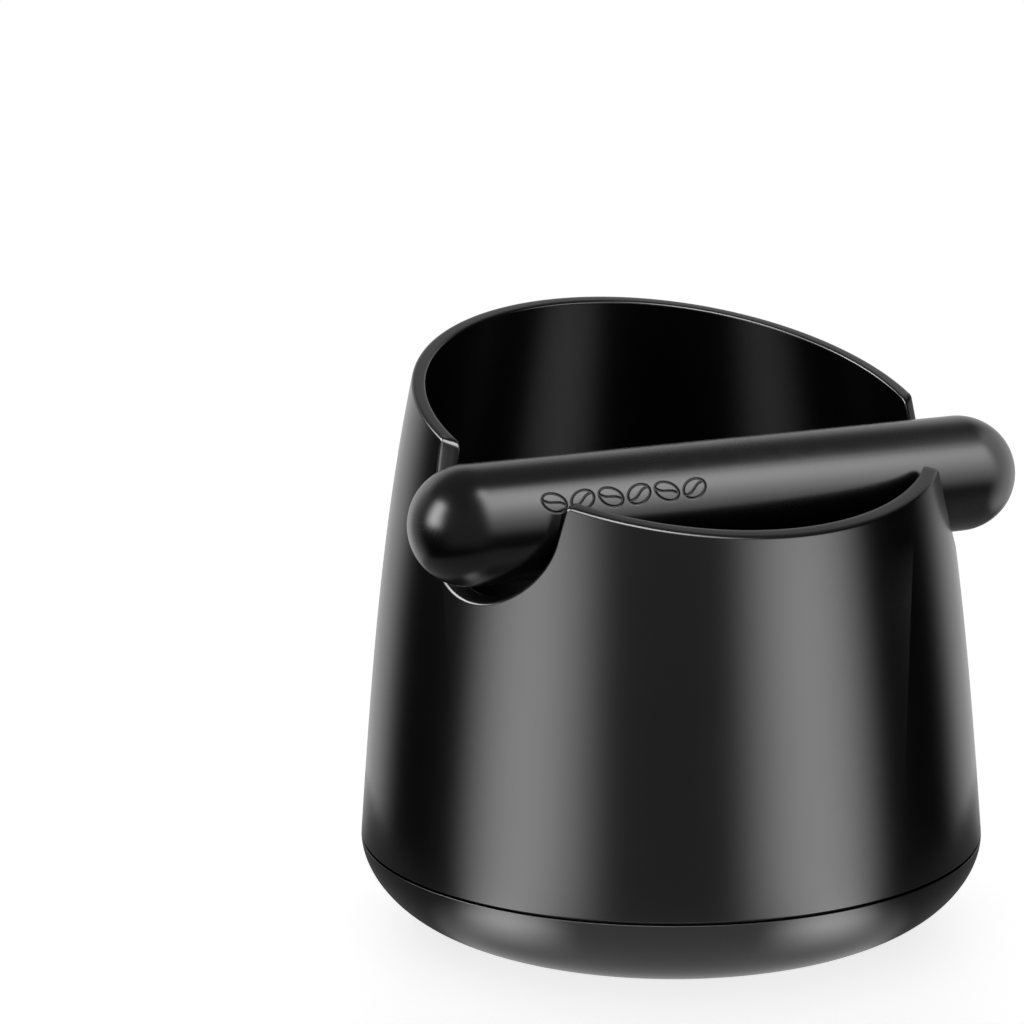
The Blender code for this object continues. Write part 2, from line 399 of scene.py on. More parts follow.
def startTree(name, sockets):
    # a Geometry Nodes tree with these inputs: its bench, their keys and their wires
    tree = bpy.data.node_groups.new(name, "GeometryNodeTree")
    keys = {}
    for label, kind in sockets:
        made = tree.interface.new_socket(label, in_out="INPUT", socket_type="NodeSocket" + kind)
        keys[label] = made.identifier
    tree.interface.new_socket("Piece", in_out="OUTPUT", socket_type="NodeSocketGeometry")
    bench = Bench(tree)
    return bench, keys, bench.add("NodeGroupInput").siblings()[:len(sockets)]


def endTree(bench, shape, material):
    real = bench.add("GeometryNodeRealizeInstances", None, {"Geometry": shape})
    done = bench.add("GeometryNodeSetMaterial", None, {"Geometry": real, "Material": material})
    bench.add("NodeGroupOutput", None, {0: done})


def runTree(name, mesh, tree, keys, values, material):
    # puts a mesh through a tree and keeps the result as a plain mesh
    holder = bpy.data.objects.new(name + "Source", mesh)
    bpy.context.scene.collection.objects.link(holder)
    modifier = holder.modifiers.new(name, "NODES")
    modifier.node_group = tree
    for label, value in {**values, "Material": material}.items():
        modifier[keys[label]] = value
    graph = bpy.context.evaluated_depsgraph_get()
    result = bpy.data.meshes.new_from_object(holder.evaluated_get(graph))
    holder.modifiers.clear()
    bpy.data.objects.remove(holder)
    result.name = name
    finishMesh(result)
    return pieceOf(name, result, material)


def turnTree():
    # turns a profile in the XZ plane about Z
    bench, keys, (profile, count, material) = startTree("turnProfile", (
        ("Profile", "Geometry"), ("Segments", "Int"), ("Material", "Material"),
    ))
    size = bench.add(
        "GeometryNodeAttributeDomainSize", {"component": "MESH"}, {"Geometry": profile}
    )
    grid = bench.add(
        "GeometryNodeMeshGrid", None, {"Vertices X": count + 1.0, "Vertices Y": size}
    )
    index = bench.add("GeometryNodeInputIndex")
    column = (index / size).maths("FLOOR")
    row = index - column * size
    place = bench.add("GeometryNodeInputPosition")
    sample = bench.add(
        "GeometryNodeSampleIndex", {"data_type": "FLOAT_VECTOR"},
        {"Geometry": profile, "Value": place, "Index": row},
    )
    turned = bench.add(
        "ShaderNodeVectorRotate", {"rotation_type": "Z_AXIS"},
        {"Vector": sample, "Angle": column / count * math.tau},
    )
    moved = bench.add("GeometryNodeSetPosition", None, {"Geometry": grid, "Position": turned})
    welded = bench.add(
        "GeometryNodeMergeByDistance", None, {"Geometry": moved, "Distance": 0.000001}
    )
    endTree(bench, welded, material)
    return bench.tree, keys


turnNodes = turnTree()


def turnedPiece(name, profile, segments, material):
    mesh = bpy.data.meshes.new(name + "Profile")
    edges = [(i, i + 1) for i in range(len(profile) - 1)]
    mesh.from_pydata([(p[0], 0, p[1]) for p in profile], edges, [])
    return runTree(name, mesh, *turnNodes, {"Segments": segments}, material)


basePlan = {
    "corner": 0.0230,
    "rounding": 1.8,  # 2 is an ellipse
    "floor": 0.0042,
    "bowlCorner": 0.0150,
    "tongueWall": 0.0020,
    "sealInset": 0.0017,
    "sealWidth": 0.0014,
    "sealDepth": 0.0014,
    "sealRound": 0.0002,
    "gap": 0.0003,
    "tongueRound": 0.0005,
    "grooveRound": 0.0001,
    "smallRound": 0.0002,  # other moulded edges
    "ringEdge": 0.0003,
    "recessDepth": 0.0004,  # of a shallow ring and a round gate mark in the underside
    "recessSlope": 0.0005,
    "recessFrom": 0.006,  # from the foot ring's groove inwards
    "recessTo": 0.015,
    "gateRadius": 0.004,
    "edgeRound": 0.00012,
    "sideRows": 70,
    "segments": 256,
}
baseTop = shellFoot - shellPlan["seamGap"]
footProud = baseBox[0].z
footOuter = footBox[1].x


def baseProfile():
    plan = basePlan
    edge = plan["edgeRound"]
    tongueTop = baseBox[1].z
    tongueOuter = wallRadius(tongueTop) - shellPlan["wall"] - plan["gap"]
    tongueInner = tongueOuter - plan["tongueWall"]
    floorTop = footProud + plan["floor"]
    grooveOuter = bodyRadius - plan["sealInset"] + plan["gap"]
    grooveInner = grooveOuter - plan["sealWidth"] - 2 * plan["gap"]
    ringInner = footOuter - footPlan["width"] - plan["gap"]
    ringTop = footBox[1].z + plan["gap"]
    tip, small, slope = plan["tongueRound"], plan["smallRound"], plan["recessSlope"]
    grooveFloor = baseTop - plan["sealDepth"]
    recess = footProud + plan["recessDepth"]
    recessOuter = ringInner - plan["recessFrom"]
    recessInner = ringInner - plan["recessTo"]
    gate = plan["gateRadius"]
    points = [Vector((0, floorTop))]
    for angle in even(0, math.pi / 2, 24):
        radius = tongueInner - plan["bowlCorner"] * (1 - math.sin(angle))
        points.append(Vector((radius, floorTop + plan["bowlCorner"] * (1 - math.cos(angle)))))
    points += roundedProfile([
        (tongueInner, floorTop + plan["bowlCorner"] + 0.001, 0),
        (tongueInner, tongueTop, tip),
        (tongueOuter, tongueTop, tip),
        (tongueOuter, baseTop, small),
        (grooveInner, baseTop, plan["grooveRound"]),
        (grooveInner, grooveFloor, small),
        (grooveOuter, grooveFloor, small),
        (grooveOuter, baseTop, plan["grooveRound"]),
        (bodyRadius, baseTop, edge),
        (bodyRadius, baseTop - 2 * edge, 0),
    ])
    side = []
    height = baseTop - footProud
    for angle in even(0, math.pi / 2, plan["sideRows"]):
        across = max(math.cos(angle), 0) ** (2 / plan["rounding"])
        down = math.sin(angle) ** (2 / plan["rounding"])
        side.append(Vector((bodyRadius - plan["corner"] * (1 - across), baseTop - height * down)))
    points += [p for p in side if p.y < baseTop - 2.5 * edge]
    points += roundedProfile([
        (side[-1].x, footProud, 0),
        (footOuter + plan["gap"], footProud, plan["ringEdge"]),
        (footOuter + plan["gap"], ringTop, 0),
        (ringInner, ringTop, 0),
        (ringInner, footProud, plan["ringEdge"]),
        (recessOuter, footProud, small),
        (recessOuter - slope, recess, small),
        (recessInner + slope, recess, small),
        (recessInner, footProud, small),
        (gate, footProud, small),
        (gate - plan["recessDepth"], recess, small),
        (0, recess, 0),
    ])
    return points


def ringProfile(outer, inner, bottom, top, edge):
    # a ring's section, closed back to where it starts
    middle = (outer + inner) / 2
    return roundedProfile([
        (middle, top, 0), (outer, top, edge), (outer, bottom, edge),
        (inner, bottom, edge), (inner, top, edge), (middle, top, 0),
    ])


footPlan = {
    "width": 0.0100,
    "edgeRound": 0.0004,
    "ribs": 72,
    "ribHeight": 0.0005,
    "ribWidth": 0.0018,
    "ribLength": 0.0082,
    "ribRound": 0.0002,
}


def ribMesh():
    # one tread rib at the origin, its length along X and its crown down
    mesh = bpy.data.meshes.new("treadRib")
    work = bmesh.new()
    bmesh.ops.create_cube(work, size=1)
    tall = footPlan["ribHeight"]
    size = (footPlan["ribLength"], footPlan["ribWidth"], 2 * tall)
    bmesh.ops.scale(work, vec=size, verts=work.verts)
    lower = [e for e in work.edges if all(v.co.z < 0 for v in e.verts)]
    upright = [e for e in work.edges if abs(e.verts[0].co.z - e.verts[1].co.z) > tall]
    bmesh.ops.bevel(
        work, geom=lower + upright, offset=footPlan["ribRound"], segments=2, affect="EDGES",
        profile=0.5,
    )
    work.to_mesh(mesh)
    work.free()
    return mesh


def treadTree():
    # joins a ring with ribs set round it at even angles
    bench, keys, (ring, rib, count, radius, height, material) = startTree("tread", (
        ("Ring", "Geometry"), ("Rib", "Object"), ("Count", "Int"), ("Radius", "Float"),
        ("Height", "Float"), ("Material", "Material"),
    ))
    circle = bench.add("GeometryNodeMeshCircle", None, {"Vertices": count, "Radius": radius})
    index = bench.add("GeometryNodeInputIndex")
    turn = bench.add("ShaderNodeCombineXYZ", None, {"Z": index / count * math.tau})
    shape = bench.add("GeometryNodeObjectInfo", None, {"Object": rib}, output="Geometry")
    ribs = bench.add(
        "GeometryNodeInstanceOnPoints", None,
        {"Points": circle, "Instance": shape, "Rotation": turn},
    )
    lift = bench.add("ShaderNodeCombineXYZ", None, {"Z": height})
    placed = bench.add("GeometryNodeSetPosition", None, {"Geometry": ribs, "Offset": lift})
    joined = bench.add("GeometryNodeJoinGeometry", None, {0: [placed, ring]})
    endTree(bench, joined, material)
    return bench.tree, keys


def buildFoot(material):
    inner = footOuter - footPlan["width"]
    tread = footBox[0].z + footPlan["ribHeight"]
    ring = ringProfile(footOuter, inner, tread, footBox[1].z, footPlan["edgeRound"])
    plain = turnedPiece("footRingBody", ring, basePlan["segments"], material)
    rib = bpy.data.objects.new("treadRib", ribMesh())
    bpy.context.scene.collection.objects.link(rib)
    values = {
        "Rib": rib,
        "Count": footPlan["ribs"],
        "Radius": (footOuter + inner) / 2,
        "Height": tread,
    }
    piece = runTree("footRing", plain.data, *treadTree(), values, material)
    bpy.data.objects.remove(plain)
    bpy.data.objects.remove(rib)
    return piece


# the sleeve is a turned capsule with its core's pocket, and a tree engraves it
sleevePlan = {
    "pocketRadius": 0.0083,
    "pocketEnd": 0.0132,  # from the bar's end to the pocket's end
    "pinHole": 0.0015,
    "pinEdge": 0.0003,
    "rowStep": 0.0009,
    "fineStep": 0.00015,
    "columnStep": math.radians(3),
    "fineColumn": math.radians(0.6),
    "endRows": 30,
    "motifMargin": 0.0006,  # finely divided beyond each end of the motif
    "motifCount": 6,
    "motifStart": -0.0520,
    "motifPitch": 0.0070,
    "motifAngle": math.radians(25.5),  # above the level line to the front
    "beanLength": 0.0060,
    "beanWidth": 0.0042,
    "beanLean": 0.42,
    "lineWidth": 0.00048,
    "lineDepth": 0.00028,
}


def spaced(first, last, fineFirst, fineLast, step, fineStep):
    # values from first to last, closer together between the two fine ones
    values = []
    spans = ((first, fineFirst, step), (fineFirst, fineLast, fineStep), (fineLast, last, step))
    for start, end, size in spans:
        count = max(1, round((end - start) / size))
        values += [start + (end - start) * i / count for i in range(count)]
    return values + [last]


def beanTree():
    # presses a row of beans into a bar that lies along X
    numbers = ("Count", "Start", "Pitch", "Angle", "Length", "Width", "Lean", "Line", "Depth")
    bench, keys, wires = startTree("beans", (
        ("Bar", "Geometry"), *((name, "Float") for name in numbers), ("Material", "Material"),
    ))
    bar, count, start, pitch, angle, length, width, lean, line, depth, material = wires
    x, y, z = bench.split(bench.add("GeometryNodeInputPosition"))
    radius = (y * y + z * z).maths("SQRT")
    around = (z.maths("ARCTAN2", y * -1.0) - angle) * radius
    along = (x - start) / pitch
    cell = along.maths("FLOOR").maths("MAXIMUM", 0.0).maths("MINIMUM", count - 1.0)
    across = (along - cell - 0.5) * pitch
    side = (cell.maths("MODULO", 2.0) * 2.0 - 1.0) * lean
    u = across * side.maths("COSINE") + around * side.maths("SINE")
    v = around * side.maths("COSINE") - across * side.maths("SINE")
    a, b = length * 0.5, width * 0.5
    reach = ((u / a) ** 2.0 + (v / b) ** 2.0).maths("SQRT")
    grade = ((u / (a * a)) ** 2.0 + (v / (b * b)) ** 2.0).maths("SQRT").maths("MAXIMUM", 1.0)
    rim = (reach * (reach - 1.0) / grade).maths("ABSOLUTE")
    wave = (u / a * 2.6).maths("SINE") * b * 0.22
    crease = (v - wave).maths("ABSOLUTE").maths("MAXIMUM", u.maths("ABSOLUTE") - a * 0.86)
    near = rim.maths("MINIMUM", crease) / line * 2.0
    groove = bench.add(
        "ShaderNodeMapRange", {"interpolation_type": "SMOOTHSTEP"},
        {"Value": near, "From Min": 0.35, "From Max": 1.0, "To Min": 1.0, "To Max": 0.0},
    )
    outside = radius.maths("GREATER_THAN", 0.0100)  # leaves the pocket's wall alone
    press = groove * outside * depth * -1.0
    offset = bench.add(
        "ShaderNodeCombineXYZ", None, {"Y": y / radius * press, "Z": z / radius * press}
    )
    moved = bench.add("GeometryNodeSetPosition", None, {"Geometry": bar, "Offset": offset})
    stored = bench.add(
        "GeometryNodeStoreNamedAttribute", {"data_type": "FLOAT", "domain": "POINT"},
        {"Geometry": moved, "Name": "engraved", "Value": groove * outside},
    )
    endTree(bench, stored, material)
    return bench.tree, keys


def roundEnd(first, last, middle, way, count):
    # (radius, x) points over a round end of the bar, without the first of them
    angles = even(first, last, count)[1:]
    return [
        Vector((barRadius * math.sin(a), middle + way * barRadius * math.cos(a))) for a in angles
    ]


def buildSleeve(material):
    plan = sleevePlan
    pocket, hole, pinEdge = plan["pocketRadius"], plan["pinHole"], plan["pinEdge"]
    straight = barEnd - barRadius
    pocketHalf = barEnd - plan["pocketEnd"]
    motifEnd = plan["motifStart"] + plan["motifPitch"] * plan["motifCount"]
    margin = plan["motifMargin"]
    rows = spaced(
        -straight, straight, plan["motifStart"] - margin, motifEnd + margin,
        plan["rowStep"], plan["fineStep"],
    )
    mouth = math.asin((hole + pinEdge) / barRadius)
    profile = [Vector((0, -barEnd))]
    profile += roundEnd(0, math.pi / 2, -straight, -1, plan["endRows"])
    profile += [Vector((barRadius, x)) for x in rows[1:]]
    profile += roundEnd(math.pi / 2, mouth, straight, 1, plan["endRows"])
    lip = profile[-1].y
    for a in even(0, math.pi / 2, 4)[1:]:
        profile.append(Vector((
            hole + pinEdge * (1 - math.sin(a)), lip - pinEdge * (1 - math.cos(a)),
        )))
    profile += [
        Vector((hole, pocketHalf + 0.001)), Vector((hole, pocketHalf)),
        Vector((pocket, pocketHalf)), Vector((pocket, 0)), Vector((pocket, -pocketHalf)),
        Vector((0, -pocketHalf)),
    ]
    band = 1.05 * plan["beanLength"] / 2 / barRadius
    angles = spaced(
        -math.pi, math.pi, plan["motifAngle"] - band, plan["motifAngle"] + band,
        plan["columnStep"], plan["fineColumn"],
    )[:-1]
    points = []
    for angle in angles:
        points += [(p.y, -p.x * math.cos(angle), p.x * math.sin(angle)) for p in profile]
    rowCount, columnCount = len(profile), len(angles)
    faces = []
    for i in range(columnCount):
        a, b = i * rowCount, (i + 1) % columnCount * rowCount
        faces += [(a + j, a + j + 1, b + j + 1, b + j) for j in range(rowCount - 1)]
    mesh = bpy.data.meshes.new("barSleevePlain")
    mesh.from_pydata(points, [], faces)
    finishMesh(mesh)
    values = {
        "Count": float(plan["motifCount"]),
        "Start": plan["motifStart"],
        "Pitch": plan["motifPitch"],
        "Angle": plan["motifAngle"],
        "Length": plan["beanLength"],
        "Width": plan["beanWidth"],
        "Lean": plan["beanLean"],
        "Line": plan["lineWidth"],
        "Depth": plan["lineDepth"],
    }
    piece = runTree("barSleeve", mesh, *beanTree(), values, material)
    piece.data.transform(Matrix.Translation((0, barY, barZ)))
    return piece


def newFinish(name):
    # a material's bench, its main shader and the place on the piece
    material = bpy.data.materials.new(name)
    material.use_nodes = True
    bench = Bench(material.node_tree)
    where = bench.add("ShaderNodeTexCoord", output="Object")
    return material, bench, where


def feed(bench, **values):
    # sets the main shader, whose sockets have spaces where these names have underscores
    shader = bench.tree.nodes["Principled BSDF"]
    for name, value in values.items():
        bench.plug(shader.inputs[name.replace("_", " ")], value)


def noiseAt(bench, where, scale, detail=3.0, roughness=0.55):
    return bench.add(
        "ShaderNodeTexNoise", {"noise_dimensions": "3D"},
        {"Vector": where, "Scale": scale, "Detail": detail, "Roughness": roughness},
    )


def between(bench, value, low, high, first, last):
    # value from low to high mapped smoothly to first to last
    return bench.add(
        "ShaderNodeMapRange", {"interpolation_type": "SMOOTHSTEP"},
        {"Value": value, "From Min": low, "From Max": high, "To Min": first, "To Max": last},
    )


def mixTone(bench, share, *tones):
    first, last = (tone if isinstance(tone, Wire) else (*tone, 1) for tone in tones)
    inputs = {0: share, 6: first, 7: last}
    return bench.add("ShaderNodeMix", {"data_type": "RGBA"}, inputs, output=2)


def bumped(bench, height, distance, below=None):
    inputs = {"Height": height, "Distance": distance, "Strength": 1.0}
    if below is not None:
        inputs["Normal"] = below
    return bench.add("ShaderNodeBump", None, inputs)


def attributeOf(bench, name):
    return bench.add("ShaderNodeAttribute", {"attribute_name": name}, output="Fac")


def scuffs(bench, where, scale, turn):
    # sparse straight hairlines, all roughly along one direction
    thin, rare, edge, patchScale = 90.0, 0.70, 0.08, 60.0
    laid = bench.add(
        "ShaderNodeMapping", {"vector_type": "TEXTURE"},
        {"Vector": where, "Rotation": turn, "Scale": (1.0, thin, 1.0)},
    )
    streaks = noiseAt(bench, laid, scale, 0.0, 0.5)
    patches = noiseAt(bench, where, patchScale, 2.0)
    return (
        between(bench, streaks, rare, rare + edge, 0.0, 1.0)
        * between(bench, patches, 0.45, 0.65, 0.0, 1.0)
    )


shellLook = {
    "tone": (0.0016, 0.0016, 0.0017),
    "wornTone": (0.0060, 0.0060, 0.0062),
    "edgeSheenTone": (0.020, 0.020, 0.020),  # rubbed edges of the rim, lighter partly from being worn and partly as a painted highlight
    "roughness": 0.205,
    "rimRoughness": 0.17,
    "mottle": 0.035,  # slow change of roughness over the wall
    "mottleScale": 28.0,
    "dustScale": 900.0,
    "dustRoughness": 0.03,  # added where dust lies, and along a scratch
    "scuffScale": 5200.0,
    "scuffTurn": (0.9, 0.3, 0.5),
    "scuffDepth": 0.000002,
    "grainScale": 5200.0,
    "grainDepth": 0.0000035,
}


def shellFinish():
    look = shellLook
    material, bench, where = newFinish("satinAbs")
    slow = noiseAt(bench, where, look["mottleScale"], 4.0)
    fine = noiseAt(bench, where, look["grainScale"], 2.0, 0.6)
    dust = noiseAt(bench, where, look["dustScale"], 6.0, 0.65)
    scratch = scuffs(bench, where, look["scuffScale"], look["scuffTurn"])
    # the rim's edges are lightened partly as worn plastic and partly as a painted highlight
    wearAndSheen = attributeOf(bench, "rimWear")
    polished = (wearAndSheen * between(bench, slow, 0.30, 0.60, 0.7, 1.0)).clamped()
    rubbedAndSheen = between(bench, polished, 0.35, 0.95, 0.0, 1.0)
    rough = look["roughness"] + (slow - 0.5) * look["mottle"]
    rough = rough + between(bench, dust, 0.6, 0.8, 0.0, look["dustRoughness"])
    rough = rough + scratch * look["dustRoughness"]
    rough = rough - polished * (look["roughness"] - look["rimRoughness"])
    worn = mixTone(bench, (scratch * 0.3).clamped(), look["tone"], look["wornTone"])
    grain = bumped(bench, fine, look["grainDepth"])
    feed(
        bench, Base_Color=mixTone(bench, rubbedAndSheen, worn, look["edgeSheenTone"]),
        Roughness=rough.clamped(),
        Normal=bumped(bench, scratch * -1.0, look["scuffDepth"], grain),
    )
    return material


baseLook = {
    "tone": (0.0018, 0.0018, 0.0019),
    "scuffTone": (0.0060, 0.0060, 0.0062),
    "roughness": 0.21,
    "mottle": 0.04,
    "mottleScale": 34.0,
    "scuffScale": 4800.0,
    "scuffTurn": (0.1, 0.2, 1.3),
    "scuffDepth": 0.000004,
    "scuffRoughness": 0.05,
    "scrapeHeight": (0.0010, 0.0060),  # scraped by the worktop up to here
    "scrapeScale": 260.0,
    "scrapeRoughness": 0.14,
    "grainScale": 4300.0,
    "grainDepth": 0.0000045,
}


def baseFinish():
    look = baseLook
    material, bench, where = newFinish("satinBase")
    height = bench.split(where)[2]
    slow = noiseAt(bench, where, look["mottleScale"], 4.0)
    fine = noiseAt(bench, where, look["grainScale"], 2.0, 0.6)
    low = between(bench, height, *look["scrapeHeight"], 1.0, 0.0)
    scratch = scuffs(bench, where, look["scuffScale"], look["scuffTurn"])
    patch = noiseAt(bench, where, look["scrapeScale"], 5.0)
    scrape = low * between(bench, patch, 0.5, 0.7, 0.0, 1.0)
    rough = look["roughness"] + (slow - 0.5) * look["mottle"]
    rough = rough + scratch * look["scuffRoughness"] + scrape * look["scrapeRoughness"]
    worn = (scratch * 0.4 + scrape * 0.8).clamped()
    grain = bumped(bench, fine, look["grainDepth"])
    feed(
        bench, Base_Color=mixTone(bench, worn, look["tone"], look["scuffTone"]),
        Roughness=rough.clamped(),
        Normal=bumped(bench, scratch * -1.0, look["scuffDepth"], grain),
    )
    return material


sleeveLook = {
    "tone": (0.0018, 0.0018, 0.0019),
    "roughness": 0.235,
    "mottle": 0.05,
    "mottleScale": 40.0,
    "struckTone": (0.0032, 0.0032, 0.0031),
    "struckRoughness": 0.265,
    "struckHalf": 0.030,  # half the length of the part that is struck
    "struckHeight": (0.0040, 0.0120),  # above the bar's axis
    "dentScale": 240.0,
    "dentDepth": 0.000012,
    "engravedTone": (0.0035, 0.0035, 0.0035),
    "engravedRoughness": 0.20,
    "scuffScale": 5600.0,
    "scuffTurn": (0.0, 0.4, 0.25),
    "scuffRoughness": 0.06,
    "grainScale": 3600.0,
    "grainDepth": 0.0000050,
}


def sleeveFinish():
    look = sleeveLook
    material, bench, where = newFinish("satinRubber")
    x, y, z = bench.split(where)
    half = look["struckHalf"]
    middle = between(bench, x.maths("ABSOLUTE"), half * 0.5, half * 1.3, 1.0, 0.0)
    top = between(bench, z - barZ, *look["struckHeight"], 0.0, 1.0)
    patch = noiseAt(bench, where, look["dentScale"], 5.0, 0.6)
    struck = middle * top * between(bench, patch, 0.42, 0.62, 0.15, 1.0)
    slow = noiseAt(bench, where, look["mottleScale"], 3.0)
    fine = noiseAt(bench, where, look["grainScale"], 2.0, 0.6)
    scratch = scuffs(bench, where, look["scuffScale"], look["scuffTurn"])
    engraved = attributeOf(bench, "engraved")
    rough = look["roughness"] + struck * (look["struckRoughness"] - look["roughness"])
    rough = rough + (slow - 0.5) * look["mottle"] + scratch * look["scuffRoughness"]
    rough = rough + engraved * look["engravedRoughness"]
    worn = mixTone(bench, struck, look["tone"], look["struckTone"])
    grain = bumped(bench, fine, look["grainDepth"])
    feed(
        bench, Base_Color=mixTone(bench, engraved.clamped(), worn, look["engravedTone"]),
        Roughness=rough.clamped(),
        Normal=bumped(bench, patch * struck, look["dentDepth"], grain),
    )
    return material


sealLook = {
    "tone": (0.010, 0.010, 0.011),
    "roughness": 0.52,
    "grainScale": 2400.0,
    "grainDepth": 0.000006,
}
footLook = {
    "tone": (0.016, 0.016, 0.016),
    "roughness": 0.78,
    "grainScale": 1500.0,
    "grainDepth": 0.000030,
}


def rubberFinish(name, look):
    material, bench, where = newFinish(name)
    fine = noiseAt(bench, where, look["grainScale"], 4.0, 0.6)
    slow = noiseAt(bench, where, look["grainScale"] * 0.05, 3.0)
    dust = between(bench, slow, 0.5, 0.75, 0.0, 0.6)
    dusty = tuple(value * 2.4 for value in look["tone"])
    rough = look["roughness"] + (slow - 0.5) * 0.12
    feed(
        bench, Base_Color=mixTone(bench, dust, look["tone"], dusty),
        Roughness=rough.clamped(), Normal=bumped(bench, fine, look["grainDepth"]),
    )
    return material


steelLook = {
    "tones": ((0.54, 0.54, 0.55), (0.66, 0.655, 0.65)),
    "roughness": 0.24,
    "stretch": (30.0, 2600.0, 2600.0),  # long lines along X
    "lineDepth": 0.000004,
    "mottleScale": 60.0,
}


def steelFinish():
    # a drawn tube
    look = steelLook
    material, bench, where = newFinish("drawnSteel")
    laid = bench.add(
        "ShaderNodeMapping", {"vector_type": "POINT"}, {"Vector": where, "Scale": look["stretch"]}
    )
    lines = noiseAt(bench, laid, 1.0, 3.0, 0.6)
    slow = noiseAt(bench, where, look["mottleScale"], 3.0)
    rough = look["roughness"] + (lines - 0.5) * 0.16 + (slow - 0.5) * 0.08
    feed(
        bench, Base_Color=mixTone(bench, slow, *look["tones"]), Metallic=1.0,
        Roughness=rough.clamped(), Normal=bumped(bench, lines, look["lineDepth"]),
    )
    return material


nylonLook = {
    "tones": ((0.30, 0.30, 0.31), (0.40, 0.40, 0.395)),
    "roughness": 0.44,
    "ringScale": 26000.0,
    "ringDepth": 0.000008,
    "mottleScale": 180.0,
}


def nylonFinish():
    # turned, with fine rings about the bar's axis
    look = nylonLook
    material, bench, where = newFinish("turnedNylon")
    x, y, z = bench.split(where)
    y, z = y - barY, z - barZ
    rings = ((y * y + z * z).maths("SQRT") * look["ringScale"]).maths("SINE")
    slow = noiseAt(bench, where, look["mottleScale"], 4.0)
    rough = look["roughness"] + (slow - 0.5) * 0.2
    feed(
        bench, Base_Color=mixTone(bench, slow, *look["tones"]), Roughness=rough.clamped(),
        Normal=bumped(bench, rings * 0.5 + slow, look["ringDepth"]),
    )
    return material


shellMaterial = shellFinish()
baseMaterial = baseFinish()
sealMaterial = rubberFinish("sealSilicone", sealLook)
footMaterial = rubberFinish("footRubber", footLook)
sleeveMaterial = sleeveFinish()
steelMaterial = steelFinish()
nylonMaterial = nylonFinish()
print("materials made")

binShell = buildShell(shellMaterial)
print("shell built,", len(binShell.data.polygons), "faces")
basePan = turnedPiece("basePan", baseProfile(), basePlan["segments"], baseMaterial)
sealOuter = sealBox[1].x
sealRing = ringProfile(
    sealOuter, sealOuter - basePlan["sealWidth"], sealBox[0].z, sealBox[1].z, basePlan["sealRound"]
)
baseSeal = turnedPiece("baseSeal", sealRing, basePlan["segments"], sealMaterial)
footRing = buildFoot(footMaterial)
print("base, seal and foot built,", len(basePan.data.polygons), "faces in the base")
barSleeve = buildSleeve(sleeveMaterial)
print("sleeve built,", len(barSleeve.data.polygons), "faces")

placements = (
    (binShell, "bin_shell", "bin", "shell_plastic"),
    (basePan, "base_pan", "bin", "base_plastic"),
    (baseSeal, "base_seal", "bin", "seal_silicone"),
    (footRing, "foot_ring", "bin", "foot_rubber"),
    (barSleeve, "bar_sleeve", "bar", "sleeve_rubber"),
)
for piece, node, body, slotName in placements:
    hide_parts(node)
    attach(piece, body)

carried = (
    ("bar_core", steelMaterial, "core_steel"),
    ("bar_plug_left", nylonMaterial, "plug_nylon"),
    ("bar_plug_right", nylonMaterial, "plug_nylon"),
)
for node, material, slotName in carried:
    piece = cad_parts[node]
    piece.data.materials.clear()
    piece.data.materials.append(material)
print("pieces placed")


cameraPlan = {
    "azimuth": math.radians(-27.329),
    "elevation": math.radians(14.480),
    "distance": 0.78505,
    "aimHeight": 0.0608,
    "panTurn": 0.048304,  # turned aside, so that the box sits low and to the right
    "tiltTurn": 0.046473,
    "lens": 114.34,
    "sensor": 36,
    "nearest": 0.02,
    "farthest": 20,
}


def awayAt(azimuth, elevation):
    # the way from the object towards something at this bearing and height
    flat = math.cos(elevation)
    return Vector((math.sin(azimuth) * flat, -math.cos(azimuth) * flat, math.sin(elevation)))


def buildCamera():
    plan = cameraPlan
    away = awayAt(plan["azimuth"], plan["elevation"])
    right = (-away).cross(Vector((0, 0, 1))).normalized()
    up = right.cross(-away)
    pan = Quaternion(up, plan["panTurn"])
    tilt = Quaternion(pan @ right, plan["tiltTurn"])
    turn = Matrix((pan @ right, tilt @ up, tilt @ (pan @ away))).transposed()
    camera = bpy.data.objects.new("view", bpy.data.cameras.new("view"))
    bpy.context.scene.collection.objects.link(camera)
    place = Vector((0, 0, plan["aimHeight"])) + away * plan["distance"]
    camera.matrix_world = Matrix.Translation(place) @ turn.to_4x4()
    camera.data.lens = plan["lens"]
    camera.data.sensor_width = plan["sensor"]
    camera.data.clip_start = plan["nearest"]
    camera.data.clip_end = plan["farthest"]
    bpy.context.scene.camera = camera


stagePlan = {
    "floorRadius": 0.60,
    "floorGlow": 0.80,  # share of the floor's white that no shadow dims
    "floorTone": 0.86,
    "poolRadius": 0.170,
    "poolFront": 0.80,
    "poolSide": 0.12,
    "poolBack": 0.50,
    "poolFrontEnds": (46, 64),  # degrees off the camera's side where each share fades
    "poolBackStarts": (110, 140),
    "poolContactShadow": (0.062, 0.078, 0.72),  # dimmer this close to the box, by this share, as a painted contact shadow
    "poolBand": 5.1,
    "bandBearings": (-38, 37),
    "bandSpread": 18,
    "bandStart": (0.067, 0.094),  # reach where the bands begin and are full
    "fanFrom": 0.095,  # the bands turn apart beyond this reach, by so many degrees a metre
    "fanTurn": 150,
    "barPool": 0.26,
    "binPoolHeight": -0.0005,
    "barPoolHeight": -0.0010,
    "front": 0.27,
    "frontEnds": (22, 62),
    "back": 0.80,
    "backStarts": (118, 143),
    "risesFrom": (-40, -15),
    "above": 0.20,
    "aboveStarts": (28, 50),
    "sky": 0.006,
}

